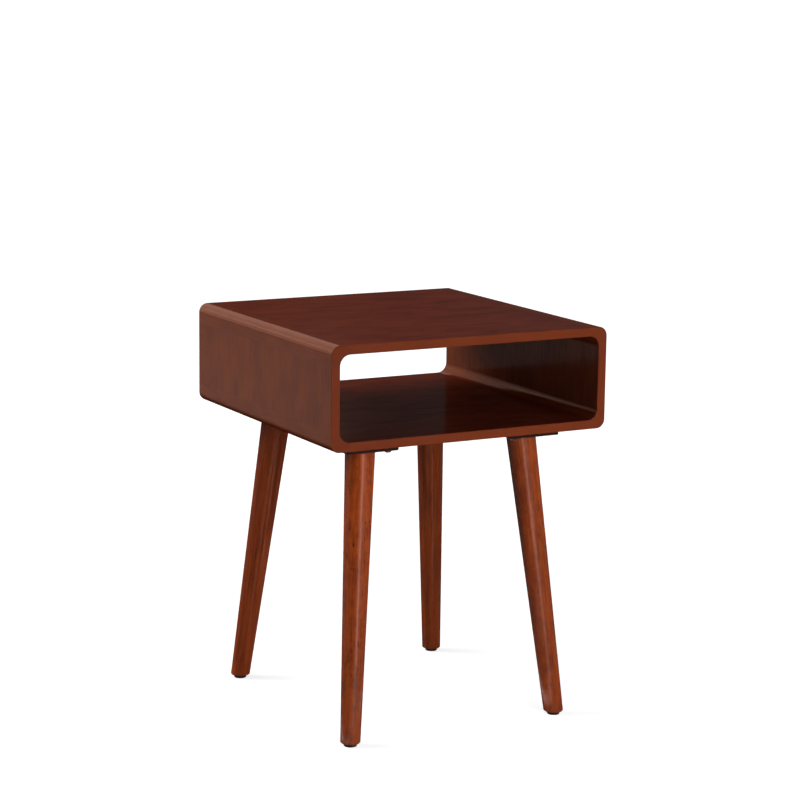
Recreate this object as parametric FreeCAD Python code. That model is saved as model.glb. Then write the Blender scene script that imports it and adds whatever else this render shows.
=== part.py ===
import FreeCAD, Part
import os

# End table with an open shelf: a round-cornered wooden case on four splayed, tapered legs.
# Sizes are in millimetres. X runs across the width, Y from front to back and Z up. The origin
# is on the floor, under the middle of the table.

# Whole table
table_width = 400.0
table_depth = 400.0
table_height = 525.0

# Case of four panels and four corner mouldings, open at the front and at the back
case_height = 134.0
panel_thickness = 12.0
corner_outer_radius = 12.0
corner_inner_radius = 14.0
edge_easing = 1.0

# Dowels across the joints between the panels and the mouldings
dowel_diameter = 6.0
dowel_in_panel = 12.0
dowel_in_moulding = 11.0
dowel_chamfer = 0.8
dowel_end_inset = 50.0
dowels_per_joint = 4
dowel_side_clearance = 0.1
dowel_end_clearance = 0.5

# Mounting blocks under the shelf, one for each leg
block_width = 74.0
block_depth = 74.0
block_thickness = 13.0
block_corner_radius = 3.0
block_edge_chamfer = 1.0

# Legs: where the axis would meet the case, how far the foot stands out from there, and the taper
leg_inset_side = 82.0
leg_inset_front = 79.0
foot_spread_side = 35.0
foot_spread_front = 47.0
leg_top_diameter = 39.0
leg_foot_diameter = 26.0
leg_foot_chamfer = 1.6

# Screws that hold each block to the shelf, with inserts in the shelf's underside
block_screw_diameter = 5.0
block_screw_head_diameter = 9.5
block_screw_head_height = 3.7
block_screw_head_rounding = 2.4
block_screw_socket = 3.0
block_screw_socket_depth = 2.0
block_screw_edge_inset = 11.0
shelf_insert_diameter = 8.0
shelf_skin_over_insert = 3.0

# Screws that hold each leg to its block, with inserts in the leg's top
leg_screw_diameter = 6.0
leg_screw_head_diameter = 12.0
leg_screw_head_height = 3.3
leg_screw_socket = 4.0
leg_screw_socket_depth = 2.2
leg_screw_spacing = 18.0
leg_insert_diameter = 9.0
leg_insert_length = 18.0

# Fits shared by the screws and inserts
screw_hole_clearance = 0.25
thread_clearance = 0.05
insert_side_clearance = 0.05
insert_chamfer = 0.5
screw_tip_clearance = 1.5
screw_tip_chamfer = 0.6

# Glides nailed under the legs
glide_diameter = 17.0
glide_height = 4.0
glide_rounding = 1.0
nail_diameter = 2.5
nail_length = 18.0
nail_point_length = 3.0
nail_head_diameter = 6.0
nail_head_thickness = 1.0
nail_head_recess = 0.5
nail_clearance = 0.1

# Places that follow from the sizes above
half_width = table_width / 2
half_depth = table_depth / 2
case_underside = table_height - case_height
shelf_surface = case_underside + panel_thickness
block_underside = case_underside - block_thickness
corner_reach = panel_thickness + max(corner_inner_radius, corner_outer_radius)
joint_x = half_width - corner_reach
joint_z_low = case_underside + corner_reach
joint_z_high = table_height - corner_reach
shelf_insert_length = panel_thickness - shelf_skin_over_insert
tolerance = 1e-6

UP = FreeCAD.Vector(0, 0, 1)
DOWN = FreeCAD.Vector(0, 0, -1)
SIDES = {"left": -1, "right": 1}
ENDS = {"front": -1, "back": 1}
LEVELS = {"bottom": -1, "top": 1}


def box_between(low, high):
    """Box from its low corner to its high corner."""
    size = high - low
    return Part.makeBox(size.x, size.y, size.z, low)


def rod(diameter, length, base, direction=UP):
    """Solid cylinder that starts at base and runs along direction."""
    return Part.makeCylinder(diameter / 2, length, base, direction)


def edges_along(shape, axis):
    """Straight edges of a shape that run along an axis."""
    found = []
    for edge in shape.Edges:
        direction = edge.tangentAt(edge.FirstParameter)
        if isinstance(edge.Curve, Part.Line) and direction.cross(axis).Length < tolerance:
            found.append(edge)
    return found


def edges_at_height(shape, height):
    """Edges of a shape that lie in one horizontal plane."""
    near = 1e-4
    return [e for e in shape.Edges if abs(e.BoundBox.ZMin - height) < near and e.BoundBox.ZLength < near]


def hexagon_bar(across_flats, length, base):
    """Upright six-sided bar, the shape of a key's socket."""
    corner = FreeCAD.Vector(across_flats / 3 ** 0.5, 0, 0)
    points = []
    for turn in range(7):
        points.append(base + FreeCAD.Rotation(UP, turn * 60).multVec(corner))
    outline = Part.makePolygon(points)
    return Part.Face(outline).extrude(UP * length)


def save(node, solids):
    """Write one node, made of one or more separate solids."""
    shape = solids[0] if len(solids) == 1 else Part.makeCompound(solids)
    shape.exportStep(f"parts/{node}.step")
    print(node, len(shape.Solids), "valid" if shape.isValid() else "NOT VALID", round(shape.Volume))


# Case

def rounded_bar(width, height, radius, base_z):
    """Bar as deep as the table, with its four long edges rounded."""
    low = FreeCAD.Vector(-width / 2, -half_depth, base_z)
    bar = Part.makeBox(width, table_depth, height, low)
    return bar.makeFillet(radius, edges_along(bar, FreeCAD.Vector(0, 1, 0)))


def case_shell():
    """Whole case in one piece, with its front and back edges eased."""
    outside = rounded_bar(table_width, case_height, corner_outer_radius, case_underside)
    inner_width = table_width - 2 * panel_thickness
    inner_height = case_height - 2 * panel_thickness
    inside = rounded_bar(inner_width, inner_height, corner_inner_radius, shelf_surface)
    shell = outside.cut(inside)
    rim = [edge for edge in shell.Edges if edge.BoundBox.YLength < tolerance]
    return shell.makeFillet(edge_easing, rim)


def case_pieces():
    """The shell divided at the joint planes into panels and corner mouldings."""
    columns = {"left": (-half_width, -joint_x), "middle": (-joint_x, joint_x), "right": (joint_x, half_width)}
    rows = {
        "bottom": (case_underside, joint_z_low),
        "middle": (joint_z_low, joint_z_high),
        "top": (joint_z_high, table_height),
    }
    names = {("top", "middle"): "top_panel", ("bottom", "middle"): "shelf_panel"}
    for side in SIDES:
        names["middle", side] = f"{side}_side_panel"
        for level in LEVELS:
            names[level, side] = f"{level}_{side}_corner"
    shell = case_shell()
    pieces = {}
    for (row, column), name in names.items():
        low = FreeCAD.Vector(columns[column][0], -half_depth, rows[row][0])
        high = FreeCAD.Vector(columns[column][1], half_depth, rows[row][1])
        pieces[name] = shell.common(box_between(low, high)).Solids[0]
    return pieces


def dowel(joint, direction):
    """Dowel across a joint, from the panel into the moulding, with chamfered ends."""
    pin = rod(dowel_diameter, dowel_in_panel + dowel_in_moulding, joint - direction * dowel_in_panel, direction)
    rims = [edge for edge in pin.Edges if isinstance(edge.Curve, Part.Circle)]
    return pin.makeChamfer(dowel_chamfer, rims)


def dowel_hole(joint, direction):
    """Space for a dowel, a little wider and longer than the dowel."""
    diameter = dowel_diameter + 2 * dowel_side_clearance
    length = dowel_in_panel + dowel_in_moulding + 2 * dowel_end_clearance
    return rod(diameter, length, joint - direction * (dowel_in_panel + dowel_end_clearance), direction)


def dowel_places(side, level):
    """Joint points and directions of the dowels at one corner, as (panel, point, direction)."""
    side_middle = SIDES[side] * (half_width - panel_thickness / 2)
    level_middle = {
        "bottom": case_underside + panel_thickness / 2,
        "top": table_height - panel_thickness / 2,
    }[level]
    joint_z = {"bottom": joint_z_low, "top": joint_z_high}[level]
    flat_panel = {"bottom": "shelf_panel", "top": "top_panel"}[level]
    gaps = max(round(dowels_per_joint) - 1, 1)
    pitch = (table_depth - 2 * dowel_end_inset) / gaps
    places = []
    for count in range(gaps + 1):
        y = -half_depth + dowel_end_inset + count * pitch
        across = FreeCAD.Vector(SIDES[side] * joint_x, y, level_middle)
        upright = FreeCAD.Vector(side_middle, y, joint_z)
        places.append((flat_panel, across, FreeCAD.Vector(SIDES[side], 0, 0)))
        places.append((f"{side}_side_panel", upright, UP * LEVELS[level]))
    return places


# Legs and what holds them

def leg_axis(side, end, height):
    """Point of a leg's axis at a height above the floor."""
    rise = height / case_underside
    x = half_width - leg_inset_side + foot_spread_side * (1 - rise)
    y = half_depth - leg_inset_front + foot_spread_front * (1 - rise)
    return FreeCAD.Vector(SIDES[side] * x, ENDS[end] * y, height)


def leg_screw_places(side, end):
    """Where the leg's two screws pass from the block into the leg."""
    middle = leg_axis(side, end, block_underside)
    offset = FreeCAD.Vector(leg_screw_spacing / 2, 0, 0)
    return [middle - offset, middle + offset]


def block_screw_places(side, end):
    """Where the block's two screws meet its underside: the inner corner at the end and the one opposite."""
    middle = leg_axis(side, end, block_underside)
    inwards = -SIDES[side] * (block_width / 2 - block_screw_edge_inset)
    endwards = ENDS[end] * (block_depth / 2 - block_screw_edge_inset)
    offset = FreeCAD.Vector(inwards, endwards, 0)
    return [middle + offset, middle - offset]


def countersunk_head(clearance, top):
    """Head of a leg screw, flat on top and conical below, grown by a clearance."""
    base = top - UP * leg_screw_head_height
    small = leg_screw_diameter / 2 + clearance
    large = leg_screw_head_diameter / 2 + clearance
    return Part.makeCone(small, large, leg_screw_head_height, base, UP)


def mounting_block(side, end):
    """Block with holes for its own two screws and countersunk holes for the leg's two."""
    middle = leg_axis(side, end, block_underside)
    half = FreeCAD.Vector(block_width / 2, block_depth / 2, 0)
    block = box_between(middle - half, middle + half + UP * block_thickness)
    block = block.makeFillet(block_corner_radius, edges_along(block, UP))
    block = block.makeChamfer(block_edge_chamfer, edges_at_height(block, block_underside))
    for place in block_screw_places(side, end):
        block = block.cut(rod(block_screw_diameter + 2 * screw_hole_clearance, block_thickness, place))
    for place in leg_screw_places(side, end):
        block = block.cut(rod(leg_screw_diameter + 2 * screw_hole_clearance, block_thickness, place))
        block = block.cut(countersunk_head(screw_hole_clearance, place + UP * block_thickness))
    return block


def leg(side, end):
    """Tapered leg, cut level at both ends, with holes for its inserts and for the glide's nail."""
    top = leg_axis(side, end, block_underside)
    foot = leg_axis(side, end, glide_height)
    along = top - foot
    overrun = (leg_top_diameter / along.Length) * along
    taper = (leg_top_diameter - leg_foot_diameter) / 2 / along.Length * overrun.Length
    blank = Part.makeCone(
        leg_foot_diameter / 2 - taper,
        leg_top_diameter / 2 + taper,
        along.Length + 2 * overrun.Length,
        foot - overrun,
        along,
    )
    reach = FreeCAD.Vector(table_width, table_depth, 0)
    level_cut = box_between(UP * glide_height - reach, UP * block_underside + reach)
    shape = blank.common(level_cut).Solids[0]
    shape = shape.makeChamfer(leg_foot_chamfer, edges_at_height(shape, glide_height))
    insert_hole = leg_insert_diameter + 2 * insert_side_clearance
    insert_depth = leg_insert_length + screw_tip_clearance
    for place in leg_screw_places(side, end):
        shape = shape.cut(rod(insert_hole, insert_depth, place, DOWN))
    nail_hole_depth = nail_head_recess + nail_head_thickness + nail_length - glide_height + nail_clearance
    return shape.cut(rod(nail_diameter + 2 * nail_clearance, nail_hole_depth, foot))


def screw_end(screw, diameter, tip):
    """Chamfer the tip of a screw's shank."""
    rim = [edge for edge in edges_at_height(screw, tip.z) if edge.Length < 4 * diameter]
    return screw.makeChamfer(screw_tip_chamfer, rim)


def block_screw(place):
    """Pan-head screw from below the block up into the shelf."""
    head = rod(block_screw_head_diameter, block_screw_head_height, place, DOWN)
    head_bottom = place.z - block_screw_head_height
    head = head.makeFillet(block_screw_head_rounding, edges_at_height(head, head_bottom))
    socket_base = FreeCAD.Vector(place.x, place.y, head_bottom)
    head = head.cut(hexagon_bar(block_screw_socket, block_screw_socket_depth, socket_base))
    length = block_thickness + shelf_insert_length - screw_tip_clearance
    screw = head.fuse(rod(block_screw_diameter, length, place)).removeSplitter()
    return screw_end(screw, block_screw_diameter, place + UP * length)


def leg_screw(place):
    """Countersunk screw from the block's top down into the leg."""
    top = place + UP * block_thickness
    length = block_thickness + leg_insert_length
    screw = countersunk_head(0, top).fuse(rod(leg_screw_diameter, length, top, DOWN)).removeSplitter()
    socket_base = top - UP * leg_screw_socket_depth
    screw = screw.cut(hexagon_bar(leg_screw_socket, leg_screw_socket_depth, socket_base))
    return screw_end(screw, leg_screw_diameter, top - UP * length)


def insert(outer_diameter, thread_diameter, length, mouth, direction):
    """Threaded sleeve that starts at its mouth and runs along direction into the wood."""
    sleeve = rod(outer_diameter, length, mouth, direction)
    sleeve = sleeve.makeChamfer(insert_chamfer, [e for e in sleeve.Edges if isinstance(e.Curve, Part.Circle)])
    return sleeve.cut(rod(thread_diameter + 2 * thread_clearance, length, mouth, direction))


def glide(seat):
    """Round pad below the foot, with a recess underneath for the nail's head."""
    pad = rod(glide_diameter, glide_height, seat, DOWN)
    floor_point = seat - UP * glide_height
    pad = pad.makeFillet(glide_rounding, edges_at_height(pad, floor_point.z))
    recess_depth = nail_head_recess + nail_head_thickness
    pad = pad.cut(rod(nail_head_diameter + 2 * nail_clearance, recess_depth, floor_point))
    return pad.cut(rod(nail_diameter + 2 * nail_clearance, glide_height, floor_point))


def glide_nail(seat):
    """Nail up through the glide into the foot, its head sunk into the glide."""
    head_bottom = seat + UP * (nail_head_recess - glide_height)
    head = rod(nail_head_diameter, nail_head_thickness, head_bottom)
    shank_length = nail_length - nail_point_length
    shank = rod(nail_diameter, shank_length, head_bottom + UP * nail_head_thickness)
    point_base = head_bottom + UP * (nail_head_thickness + shank_length)
    point = Part.makeCone(nail_diameter / 2, 0, nail_point_length, point_base, UP)
    return head.fuse(shank).fuse(point).removeSplitter()


os.makedirs("parts", exist_ok=True)

pieces = case_pieces()
for side in SIDES:
    for level in LEVELS:
        moulding = f"{level}_{side}_corner"
        pins = []
        for panel, joint, direction in dowel_places(side, level):
            pins.append(dowel(joint, direction))
            hole = dowel_hole(joint, direction)
            pieces[panel] = pieces[panel].cut(hole)
            pieces[moulding] = pieces[moulding].cut(hole)
        save(f"{level}_{side}_dowels", pins)

for side in SIDES:
    for end in ENDS:
        corner = f"{end}_{side}"
        foot = leg_axis(side, end, glide_height)
        block_places = block_screw_places(side, end)
        leg_places = leg_screw_places(side, end)
        shelf_places = [place + UP * block_thickness for place in block_places]
        for place in shelf_places:
            hole = rod(shelf_insert_diameter + 2 * insert_side_clearance, shelf_insert_length, place)
            pieces["shelf_panel"] = pieces["shelf_panel"].cut(hole)
        save(f"{corner}_block", [mounting_block(side, end)])
        save(f"{corner}_block_screws", [block_screw(place) for place in block_places])
        save(f"{corner}_shelf_inserts", [
            insert(shelf_insert_diameter, block_screw_diameter, shelf_insert_length, place, UP)
            for place in shelf_places
        ])
        save(f"{corner}_leg", [leg(side, end)])
        save(f"{corner}_leg_screws", [leg_screw(place) for place in leg_places])
        save(f"{corner}_leg_inserts", [
            insert(leg_insert_diameter, leg_screw_diameter, leg_insert_length, place, DOWN)
            for place in leg_places
        ])
        save(f"{corner}_glide", [glide(foot)])
        save(f"{corner}_glide_nail", [glide_nail(foot)])

for name, piece in pieces.items():
    save(name, [piece])
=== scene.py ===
import math

import bpy
from mathutils import Matrix, Vector


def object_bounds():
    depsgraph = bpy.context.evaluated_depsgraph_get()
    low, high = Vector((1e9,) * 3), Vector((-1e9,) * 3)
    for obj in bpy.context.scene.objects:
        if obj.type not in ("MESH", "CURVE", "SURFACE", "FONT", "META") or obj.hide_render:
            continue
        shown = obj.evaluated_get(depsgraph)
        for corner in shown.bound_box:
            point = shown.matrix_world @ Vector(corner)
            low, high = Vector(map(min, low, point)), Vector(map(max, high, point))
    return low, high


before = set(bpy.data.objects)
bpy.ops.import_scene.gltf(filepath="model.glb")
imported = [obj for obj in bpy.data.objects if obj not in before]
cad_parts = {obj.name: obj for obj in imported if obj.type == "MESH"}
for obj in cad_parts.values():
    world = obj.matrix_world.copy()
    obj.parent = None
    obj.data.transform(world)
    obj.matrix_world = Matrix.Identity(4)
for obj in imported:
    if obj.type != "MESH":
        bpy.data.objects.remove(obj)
cad_box = [list(corner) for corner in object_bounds()]


# Panels of the case: the top, the shelf and the two sides. Each is a board 12 mm thick, veneered on
# both faces, stained red-brown and lacquered. The grain runs round the case, across the top and the
# shelf and up the sides. The panels are glued and doweled to the corner mouldings.

class Strand:
    """A value on its way through a material. Each sum on strands adds a Math node."""

    def __init__(self, tree, socket):
        self.tree = tree
        self.socket = socket

    def node(self, kind, settings, sockets, outlet=None):
        """Add a node: first its settings, then the values or strands of its sockets."""
        made = self.tree.nodes.new(kind)
        for name, value in settings.items():
            setattr(made, name, value)
        inlets = {inlet.identifier: inlet for inlet in made.inputs}
        for name, value in sockets.items():
            if isinstance(value, Strand):
                self.tree.links.new(value.socket, inlets[name])
            else:
                inlets[name].default_value = value
        outlets = {way.identifier: way for way in made.outputs}
        return Strand(self.tree, outlets[outlet] if outlet else next(iter(outlets.values()), None))

    def maths(self, operation, first, second=0.0):
        sockets = {"Value": first, "Value_001": second}
        return self.node("ShaderNodeMath", {"operation": operation}, sockets)

    def __add__(self, other):
        return self.maths("ADD", self, other)

    def __radd__(self, other):
        return self.maths("ADD", other, self)

    def __sub__(self, other):
        return self.maths("SUBTRACT", self, other)

    def __rsub__(self, other):
        return self.maths("SUBTRACT", other, self)

    def __mul__(self, other):
        return self.maths("MULTIPLY", self, other)

    def __rmul__(self, other):
        return self.maths("MULTIPLY", other, self)

    def __truediv__(self, other):
        return self.maths("DIVIDE", self, other)

    def __rtruediv__(self, other):
        return self.maths("DIVIDE", other, self)

    def __abs__(self):
        return self.maths("ABSOLUTE", self)


def stain(red, green, blue):
    """Colour for a shader, from screen values between 0 and 255."""
    screen = [value / 255 for value in (red, green, blue)]
    return [v / 12.92 if v < 0.04045 else ((v + 0.055) / 1.055) ** 2.4 for v in screen] + [1.0]


def new_finish(name):
    """Empty material, and the place of each point of a piece, in metres."""
    finish = bpy.data.materials.new(name)
    finish.use_nodes = True
    finish.node_tree.nodes.clear()
    place = Strand(finish.node_tree, None).node("ShaderNodeTexCoord", {}, {}, "Object")
    return finish, place


def close_finish(place, sockets):
    """Last nodes of a material: the shader, with the values of its sockets, and the output."""
    shader = place.node("ShaderNodeBsdfPrincipled", {}, sockets)
    place.node("ShaderNodeOutputMaterial", {}, {"Surface": shader})


def put_on(finish, *names):
    """Give pieces their finish."""
    for name in names:
        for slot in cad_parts[name].material_slots:
            slot.material = finish


def measure(vector, axis):
    """One coordinate, X, Y or Z, of a place or a direction."""
    return vector.node("ShaderNodeSeparateXYZ", {}, {"Vector": vector}, axis)


def marks(place, cell, turn=(0.0, 0.0, 0.0), detail=2.0):
    """Cloudy marks between 0 and 1: cell is their size along and across the grain, in metres."""
    lie = {"Vector": place, "Rotation": turn, "Scale": cell}
    spot = place.node("ShaderNodeMapping", {"vector_type": "TEXTURE"}, lie)
    return place.node("ShaderNodeTexNoise", {}, {"Vector": spot, "Scale": 1.0, "Detail": detail})


def ease(value, low, high):
    """0 below low, 1 above high and a smooth rise between them."""
    sockets = {"Value": value, "From Min": low, "From Max": high}
    return value.node("ShaderNodeMapRange", {"interpolation_type": "SMOOTHSTEP"}, sockets)


def tint(mask, colour, other, blend="MIX"):
    """One colour where the mask is 0, the other, or the two multiplied, where it is 1."""
    settings = {"data_type": "RGBA", "blend_type": blend}
    sockets = {"Factor_Float": mask, "A_Color": colour, "B_Color": other}
    return mask.node("ShaderNodeMix", settings, sockets, "Result_Color")


def relief(height, depth, strength):
    """Fine relief of a surface, depth in metres."""
    sockets = {"Height": height, "Distance": depth, "Strength": strength}
    return height.node("ShaderNodeBump", {}, sockets)


half_depth = cad_box[1][1]
edge_easing = 0.001
# Painted shade: colour that darkens the level faces, the top and the shelf, for the weak light from
# above.
painted_level_shade = (0.86, 0.62, 0.8, 1.0)


def case_finish(name, turn, dark, middle, light, rim):
    """Stained wood under satin lacquer. The rim colour is that of the front and back edges, where the
    lacquer is thin, as it is inside the case. Level faces are painted darker, a painted shade for the
    weak light from above, and those that look down have no lacquer."""
    finish, place = new_finish(name)
    flow = ease(marks(place, (0.06, 0.03, 0.03), turn, 4.0), 0.3, 0.7)
    streak = ease(marks(place, (0.05, 0.002, 0.002), turn, 3.0), 0.36, 0.7)
    pore = ease(marks(place, (0.014, 0.0007, 0.0007), turn, 1.0), 0.6, 0.72)
    edge = ease(abs(measure(place, "Y")), half_depth - edge_easing, half_depth - edge_easing / 2)
    facing = place.node("ShaderNodeTexCoord", {}, {}, "Normal")
    upwards = measure(facing, "Z")
    inside = ease(0 - measure(facing, "X") * measure(place, "X"), 0.02, 0.1)
    under = ease(0 - upwards, 0.05, 0.5)
    level = ease(abs(upwards), 0.8, 0.98)
    wood = tint(flow, dark, middle)
    wood = tint(streak * 0.48, wood, light)
    # Painted shade: level faces are multiplied darker.
    wood = tint(level, wood, painted_level_shade, "MULTIPLY")
    wood = tint(edge * 0.75, wood, rim)
    wood = tint(pore * (0.5 - 0.3 * edge), wood, dark)
    lacquer = (0.14 - 0.03 * pore) * (1 - 0.6 * edge) * (1 - 0.5 * inside) * (1 - under)
    peel = marks(place, (0.003, 0.003, 0.003))
    close_finish(place, {
        "Base Color": wood,
        "Roughness": 0.42 + 0.1 * streak,
        "Specular IOR Level": 0.0,
        "Coat Weight": lacquer,
        "Coat Roughness": 0.13,
        "Normal": relief(peel - pore * 0.6, 0.00025, 0.12),
    })
    return finish


across = (0.0, 0.0, 0.0)
upright = (0.0, math.radians(-90), 0.0)
bold_figure = (stain(93, 42, 22), stain(117, 54, 27), stain(131, 65, 33), stain(114, 49, 26))
calm_figure = (stain(97, 44, 24), stain(114, 53, 26), stain(127, 63, 32), stain(114, 49, 26))
put_on(case_finish("veneer_across", across, *bold_figure), "top_panel", "shelf_panel")
put_on(case_finish("veneer_upright", upright, *calm_figure), "left_side_panel", "right_side_panel")


# Corner mouldings: four solid wood strips that run from front to back and make the rounded corners of
# the case. They are moulded round outside and hollow inside, stained and lacquered with the panels,
# and their grain follows their length.

lengthwise = (0.0, 0.0, math.radians(90))
moulding_colours = (stain(102, 46, 24), stain(113, 53, 27), stain(124, 61, 32), stain(111, 48, 26))
put_on(
    case_finish("moulding_stain", lengthwise, *moulding_colours),
    "top_left_corner", "top_right_corner", "bottom_left_corner", "bottom_right_corner",
)


# Dowels: plain beech pins, four across each joint between a panel and a moulding. They are left bare
# and glued into their holes, so they are only seen when the case is taken apart.

beech, place = new_finish("bare_beech")
beech_figure = ease(marks(place, (0.004, 0.0008, 0.0008), upright, 3.0), 0.35, 0.7)
beech_colour = tint(beech_figure, stain(196, 158, 112), stain(214, 182, 138))
close_finish(place, {
    "Base Color": beech_colour,
    "Roughness": 0.7 + 0.1 * beech_figure,
    "Normal": relief(beech_figure, 0.0002, 0.2),
})
put_on(beech, "top_left_dowels", "top_right_dowels", "bottom_left_dowels", "bottom_right_dowels")


# Mounting blocks: four square wooden blocks under the shelf, one on top of each leg. They are sawn from
# board, stained brown, painted far darker as painted shade under the shelf, and screwed to the shelf
# from below.

block_finish, place = new_finish("block_stain_and_shade")
block_figure = ease(marks(place, (0.12, 0.004, 0.004), across, 4.0), 0.34, 0.7)
block_pore = ease(marks(place, (0.012, 0.0008, 0.0008), across, 1.0), 0.58, 0.72)
# Brown stain painted far darker: painted shade under the shelf.
block_colour = tint(block_figure, stain(38, 22, 17), stain(52, 31, 24))
block_colour = tint(block_pore * 0.5, block_colour, stain(26, 15, 12))
close_finish(place, {
    "Base Color": block_colour,
    "Roughness": 0.5 + 0.15 * block_figure,
    "Specular IOR Level": 0.02,
    "Normal": relief(block_figure - block_pore, 0.0003, 0.2),
})
legs = ("front_left", "front_right", "back_left", "back_right")
put_on(block_finish, *[f"{leg}_block" for leg in legs])


# Block screws: two black pan head screws with a hexagon socket through each block, turned into brass
# inserts in the shelf's underside.

black_steel, place = new_finish("black_screw_steel")
scuff = ease(marks(place, (0.0015, 0.0015, 0.0015), across, 3.0), 0.4, 0.7)
close_finish(place, {
    "Base Color": tint(scuff, stain(26, 25, 25), stain(44, 42, 41)),
    "Metallic": 0.85,
    "Roughness": 0.36 + 0.16 * scuff,
    "Normal": relief(scuff, 0.0001, 0.15),
})
put_on(black_steel, *[f"{leg}_block_screws" for leg in legs])

brass, place = new_finish("insert_brass")
turned = ease(marks(place, (0.004, 0.004, 0.0003), across, 2.0), 0.35, 0.7)
close_finish(place, {
    "Base Color": tint(turned, stain(176, 142, 82), stain(206, 176, 116)),
    "Metallic": 1.0,
    "Roughness": 0.28 + 0.14 * turned,
    "Normal": relief(turned, 0.0001, 0.2),
})
put_on(brass, *[f"{leg}_shelf_inserts" for leg in legs])


# Legs: four round, tapered and splayed legs, turned from solid wood, stained a little warmer than the
# case and lacquered. The grain runs along each leg, and the front legs show dark flecks and blotches
# where the stain sank in. Each leg is screwed to its block from above.

foot_place = (0.1530, 0.1680, 0.0)
head_place = (0.1192, 0.1226, 0.378)
leg_length = 0.38
ring_swing = 1500.0  # radians of the ring pattern in a metre
# The foot and head values scale each leg's colour as painted light and shade; the back legs are painted
# darker.
leg_looks = {
    "front_left": {"shading_at_foot": 0.86, "shading_at_head": 1.18, "mottling": 1.0, "haze": 0.26, "gloss": 0.2},
    "front_right": {"shading_at_foot": 0.85, "shading_at_head": 1.0, "mottling": 0.7, "haze": 0.26, "gloss": 0.19},
    "back_left": {"shading_at_foot": 1.14, "shading_at_head": 0.8, "mottling": 0.2, "haze": 0.17, "gloss": 0.11},
    "back_right": {"shading_at_foot": 0.82, "shading_at_head": 0.82, "mottling": 0.2, "haze": 0.17, "gloss": 0.11},
}


def leg_finish(leg, side, end):
    """Stained solid wood whose rings run along the axis of one leg. Each blank took the stain and the
    lacquer a little differently, so the legs aren't equally mottled or glossy. Each leg is also painted
    paler or darker at the foot and at the head, as painted light and shade. The lacquer's gloss fades
    at a glancing angle."""
    look = leg_looks[leg]
    finish, place = new_finish(f"{leg}_leg_stain")
    foot = Vector((side * foot_place[0], end * foot_place[1], foot_place[2]))
    head = Vector((side * head_place[0], end * head_place[1], head_place[2]))
    lean = (head - foot).to_track_quat("Z", "Y").to_euler()
    lie = {"Vector": place, "Location": foot, "Rotation": lean}
    spot = place.node("ShaderNodeMapping", {"vector_type": "TEXTURE"}, lie)
    sway = marks(spot, (0.02, 0.02, 0.16), detail=2.0)
    crosswise = {"Vector": spot, "Vector_001": (1, 1, 0)}
    flat = spot.node("ShaderNodeVectorMath", {"operation": "MULTIPLY"}, crosswise)
    heart = (0.031 * side, 0.022 * end, 0.0)
    from_heart = {"Vector": flat, "Vector_001": heart}
    ring = spot.node("ShaderNodeVectorMath", {"operation": "DISTANCE"}, from_heart, "Value")
    ring = (ring + 0.012 * sway) * ring_swing
    band = 0.5 + 0.5 * ring.maths("SINE", ring)
    cloud = ease(marks(spot, (0.012, 0.012, 0.09), detail=3.0), 0.3, 0.7)
    streak = ease(marks(spot, (0.0022, 0.0022, 0.06), detail=3.0), 0.38, 0.68)
    mottle = ease(marks(spot, (0.005, 0.005, 0.009), detail=3.0), 0.4, 0.7)
    blotch = ease(marks(spot, (0.012, 0.012, 0.024), detail=3.0), 0.52, 0.7)
    fleck = ease(marks(spot, (0.0036, 0.0036, 0.011), detail=1.0), 0.69, 0.76)
    pore = ease(marks(spot, (0.0007, 0.0007, 0.008), detail=1.0), 0.6, 0.72)
    wood = tint(cloud, stain(114, 44, 13), stain(152, 64, 22))
    wood = tint(band * 0.35, wood, stain(104, 39, 12))
    wood = tint(streak * 0.35, wood, stain(168, 77, 29))
    wood = tint(mottle * (0.4 * look["mottling"]), wood, stain(164, 72, 23))
    wood = tint(blotch * (0.5 * look["mottling"]), wood, stain(88, 32, 11))
    wood = tint(pore * 0.45, wood, stain(80, 29, 10))
    wood = tint(fleck * (0.7 * look["mottling"]), wood, stain(58, 20, 10))
    # Painted light and shade: the colour is scaled from the foot value to the head value along the leg.
    climb = ease(measure(spot, "Z"), 0.0, leg_length)
    painted_shading = look["shading_at_foot"] + (look["shading_at_head"] - look["shading_at_foot"]) * climb
    painted_shading_scale = {"Vector": wood, "Scale": painted_shading}
    wood = spot.node("ShaderNodeVectorMath", {"operation": "SCALE"}, painted_shading_scale)
    glance = spot.node("ShaderNodeLayerWeight", {}, {"Blend": 0.5}, "Facing")
    close_finish(place, {
        "Base Color": wood,
        "Roughness": 0.38 + 0.12 * streak,
        "Specular IOR Level": 0.0,
        "Coat Weight": look["gloss"] * (1 - 0.2 * pore) * (1 - ease(glance, 0.4, 0.8)),
        "Coat Roughness": look["haze"],
        "Normal": relief(streak - pore * 0.5, 0.0002, 0.12),
    })
    return finish


for leg in legs:
    side = 1 if "right" in leg else -1
    end = 1 if "back" in leg else -1
    put_on(leg_finish(leg, side, end), f"{leg}_leg")


# Leg screws: two countersunk screws with a hexagon socket hold each leg to its block from above, in
# brass inserts in the top of the leg. They are zinc plated and hidden once the block is on the shelf.

zinc, place = new_finish("zinc_plate")
spangle = ease(marks(place, (0.002, 0.002, 0.002), across, 3.0), 0.35, 0.7)
close_finish(place, {
    "Base Color": tint(spangle, stain(168, 168, 164), stain(198, 198, 192)),
    "Metallic": 1.0,
    "Roughness": 0.3 + 0.14 * spangle,
    "Normal": relief(spangle, 0.0001, 0.1),
})
put_on(zinc, *[f"{leg}_leg_screws" for leg in legs])
put_on(brass, *[f"{leg}_leg_inserts" for leg in legs])


# Glides: black plastic discs under the legs that keep the wood off the floor. Each is moulded in one
# piece and held by one steel nail, whose head lies in a recess of the disc.

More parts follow.
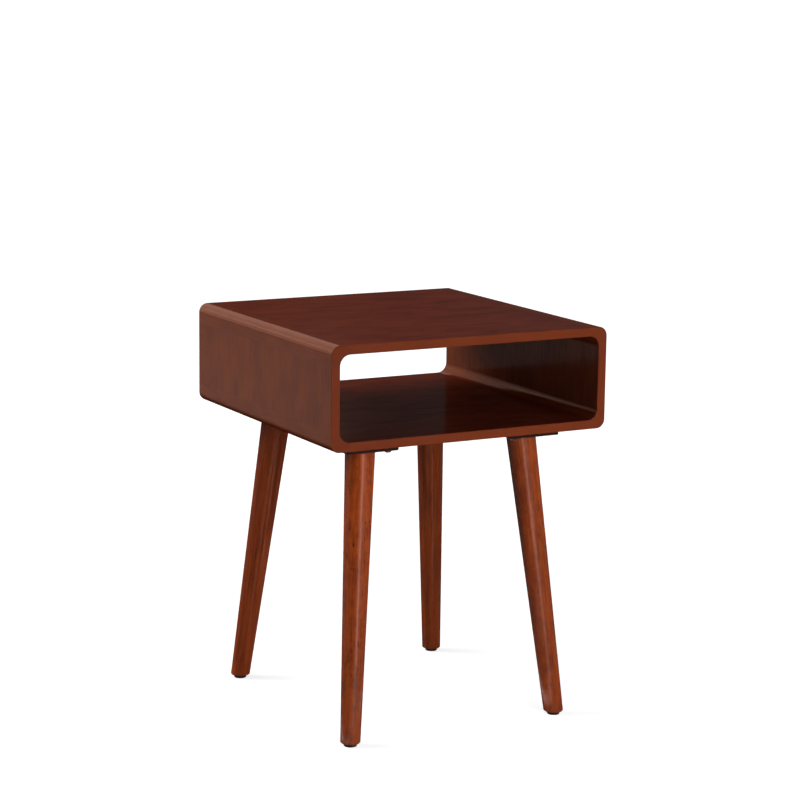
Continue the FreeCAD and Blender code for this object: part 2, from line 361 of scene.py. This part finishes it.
plastic, place = new_finish("glide_black")
dimple = marks(place, (0.0009, 0.0009, 0.0009), across, 2.0)
rub = ease(marks(place, (0.004, 0.004, 0.004), across, 3.0), 0.45, 0.7)
close_finish(place, {
    "Base Color": tint(rub, stain(16, 15, 15), stain(28, 26, 25)),
    "Roughness": 0.42 + 0.18 * rub,
    "Specular IOR Level": 0.1,
    "Normal": relief(dimple, 0.0002, 0.2),
})
put_on(plastic, *[f"{leg}_glide" for leg in legs])

nail_steel, place = new_finish("nail_steel")
drawn = ease(marks(place, (0.0008, 0.0008, 0.006), across, 2.0), 0.35, 0.7)
close_finish(place, {
    "Base Color": tint(drawn, stain(142, 142, 142), stain(176, 176, 174)),
    "Metallic": 1.0,
    "Roughness": 0.32 + 0.12 * drawn,
    "Normal": relief(drawn, 0.0001, 0.15),
})
put_on(nail_steel, *[f"{leg}_glide_nail" for leg in legs])


# Floor: a plain white sheet that runs out of sight, keeps the table's soft shadow and is clear from
# below. Two pale lanes run over it from the back legs to the front and a little to the left. Only a
# gloss sees them, and they make the thin highlights of the back legs.

floor_width = 160.0
lane_slant = 0.21
lane_glow = 11.0


def seen_plainly(start):
    """1 for what the camera sees, by itself or mirrored in a gloss, and 0 for light that falls on
    things."""
    kinds = ("Camera", "Glossy", "Transmission")
    ways = [start.node("ShaderNodeLightPath", {}, {}, f"Is {kind} Ray") for kind in kinds]
    return start.maths("MAXIMUM", start.maths("MAXIMUM", ways[0], ways[1]), ways[2])


bpy.ops.object.select_all(action="DESELECT")
bpy.ops.mesh.primitive_plane_add(size=floor_width)
floor = bpy.context.object
floor.name = "floor"
white_floor, place = new_finish("white_floor")
seen = seen_plainly(place)
far = place.node("ShaderNodeVectorMath", {"operation": "LENGTH"}, {"Vector": place}, "Value")
matt = place.node("ShaderNodeBsdfDiffuse", {}, {"Color": 0.15 + 0.4 * seen})
mirrored = place.node("ShaderNodeLightPath", {}, {}, "Is Glossy Ray")
reach = foot_place[1] - measure(place, "Y")
stray = abs(abs(measure(place, "X") + lane_slant * reach) - foot_place[0])
lane = 1 - ease(stray / reach, 0.03, 0.08)
sheen = lane * ease(reach, 0.05, 0.2) * (1 - ease(reach, 0.7, 1.1)) * mirrored
glow = place.node("ShaderNodeEmission", {}, {
    "Color": (0.74 + 0.26 * ease(far, 0.6, 2.6)) * seen + lane_glow * sheen,
    "Strength": 1.0,
})
lit = place.node("ShaderNodeAddShader", {}, {"Shader": matt, "Shader_001": glow})
clear = place.node("ShaderNodeBsdfTransparent", {}, {})
below = place.node("ShaderNodeNewGeometry", {}, {}, "Backfacing")
both = place.node("ShaderNodeMixShader", {}, {"Fac": below, "Shader": lit, "Shader_001": clear})
place.node("ShaderNodeOutputMaterial", {}, {"Surface": both})
floor.data.materials.append(white_floor)


# Dark cards: two upright boards that face the table, black with a grey glow that is paler at the right.
# The far one, behind the table, is what its top mirrors, and the near one, behind the camera, is the
# dark end of the room. The camera itself sees neither.

camera_turn = math.radians(28.6)
card_black, place = new_finish("card_black")
rightwards = (math.cos(camera_turn), -math.sin(camera_turn), 0.0)
aside = {"Vector": place, "Vector_001": rightwards}
aside = place.node("ShaderNodeVectorMath", {"operation": "DOT_PRODUCT"}, aside, "Value")
close_finish(place, {
    "Base Color": stain(20, 20, 20),
    "Roughness": 0.9,
    "Specular IOR Level": 0.0,
    "Emission Color": tint(ease(aside, -1.8, 1.8), stain(60, 60, 60), stain(140, 140, 140)),
    "Emission Strength": 1.0,
})


def dark_card(name, distance, width, height, middle):
    """Card that faces the table, along the way the camera looks. Middle is how high its middle is."""
    bpy.ops.object.select_all(action="DESELECT")
    bpy.ops.mesh.primitive_plane_add(
        size=1.0,
        location=(math.sin(camera_turn) * distance, math.cos(camera_turn) * distance, middle),
        rotation=(math.radians(90), 0.0, -camera_turn),
    )
    card = bpy.context.object
    card.name = name
    card.scale = (width, height, 1.0)
    bpy.ops.object.transform_apply(location=True, rotation=True, scale=True)
    card.data.materials.append(card_black)
    card.visible_camera = False


dark_card("far_card", distance=12.5, width=8.0, height=5.0, middle=3.3)
dark_card("near_card", distance=-6.0, width=34.0, height=5.0, middle=2.6)


# Surround and lamps: a white surround that gives little light, and six soft boxes. The main light is at
# the left, with fills in front and at the right that don't show in the gloss. The strip in front and
# the two sheen lamps behind show in the gloss alone.

studio = bpy.data.worlds.new("studio")
studio.use_nodes = True
studio.node_tree.nodes.clear()
start = Strand(studio.node_tree, None)
height = measure(start.node("ShaderNodeTexCoord", {}, {}, "Generated"), "Z")
seen = seen_plainly(start)
soft_light = 0.05 + 0.05 * ease(height, 0.1, 0.8)
sky = start.node("ShaderNodeBackground", {}, {
    "Color": stain(255, 255, 255),
    "Strength": seen + (1 - seen) * soft_light,
})
start.node("ShaderNodeOutputWorld", {}, {"Surface": sky})
bpy.context.scene.world = studio

table_middle = Vector((0.0, 0.0, 0.35))
plain_white = (1.0, 1.0, 1.0)
warm_white = (1.0, 0.9, 0.82)
rosy = (1.0, 0.58, 0.44)


def softbox(name, azimuth, elevation, distance, size, power,
            diffuse=True, glossy=True, colour=plain_white):
    """Rectangular lamp that looks at the middle of the table. Azimuth 0 is straight in front."""
    turn, rise = math.radians(azimuth), math.radians(elevation)
    level = Vector((math.sin(turn), -math.cos(turn), 0.0))
    way = level * math.cos(rise) + Vector((0.0, 0.0, math.sin(rise)))
    lamp = bpy.data.lights.new(name, "AREA")
    lamp.shape = "RECTANGLE"
    lamp.size, lamp.size_y = size
    lamp.energy = power
    lamp.color = colour
    stand = bpy.data.objects.new(name, lamp)
    stand.location = table_middle + way * distance
    stand.rotation_euler = way.to_track_quat("Z", "Y").to_euler()
    stand.visible_camera = False
    stand.visible_diffuse = diffuse
    stand.visible_glossy = glossy
    bpy.context.scene.collection.objects.link(stand)


softbox("front_strip", azimuth=-9.5, elevation=-7.9, distance=0.92, size=(0.23, 0.55), power=4.8,
        diffuse=False, colour=warm_white)
softbox("front_fill", azimuth=8.0, elevation=3.0, distance=1.35, size=(0.9, 0.8), power=13.5,
        glossy=False)
softbox("left_light", azimuth=-121.0, elevation=34.0, distance=3.4, size=(2.1, 2.1), power=97.0)
softbox("right_fill", azimuth=105.0, elevation=12.0, distance=2.6, size=(1.6, 1.6), power=18.0,
        glossy=False)
softbox("back_sheen", azimuth=184.0, elevation=30.5, distance=6.0, size=(7.0, 3.1), power=285.0,
        diffuse=False, colour=rosy)
softbox("side_sheen", azimuth=206.0, elevation=10.0, distance=6.0, size=(2.2, 2.2), power=56.0,
        diffuse=False, colour=rosy)


# Camera: at the photograph's viewing angle, from the front left and a little above the table. A long
# lens about 3.3 m away keeps the edges of the case nearly parallel. Swing, dip and roll are how far it
# is turned to the right, tipped down and tilted, in radians.

camera_place = Vector((-1.5382, -2.8321, 1.0056))
swing, dip, roll = 0.49878, 0.18286, 0.01291
lens_data = bpy.data.cameras.new("camera")
lens_data.lens = 110.348
lens_data.sensor_width = 36.0
lens_data.clip_end = 500.0
camera = bpy.data.objects.new("camera", lens_data)
forward = Vector((math.sin(swing) * math.cos(dip), math.cos(swing) * math.cos(dip), -math.sin(dip)))
level = Vector((math.cos(swing), -math.sin(swing), 0.0))
upward = level.cross(forward)
right = level * math.cos(roll) + upward * math.sin(roll)
upward = upward * math.cos(roll) - level * math.sin(roll)
axes = Matrix((right, upward, -forward)).transposed().to_4x4()
camera.matrix_world = Matrix.Translation(camera_place) @ axes
bpy.context.scene.collection.objects.link(camera)
bpy.context.scene.camera = camera
bpy.context.scene.view_settings.view_transform = "Standard"
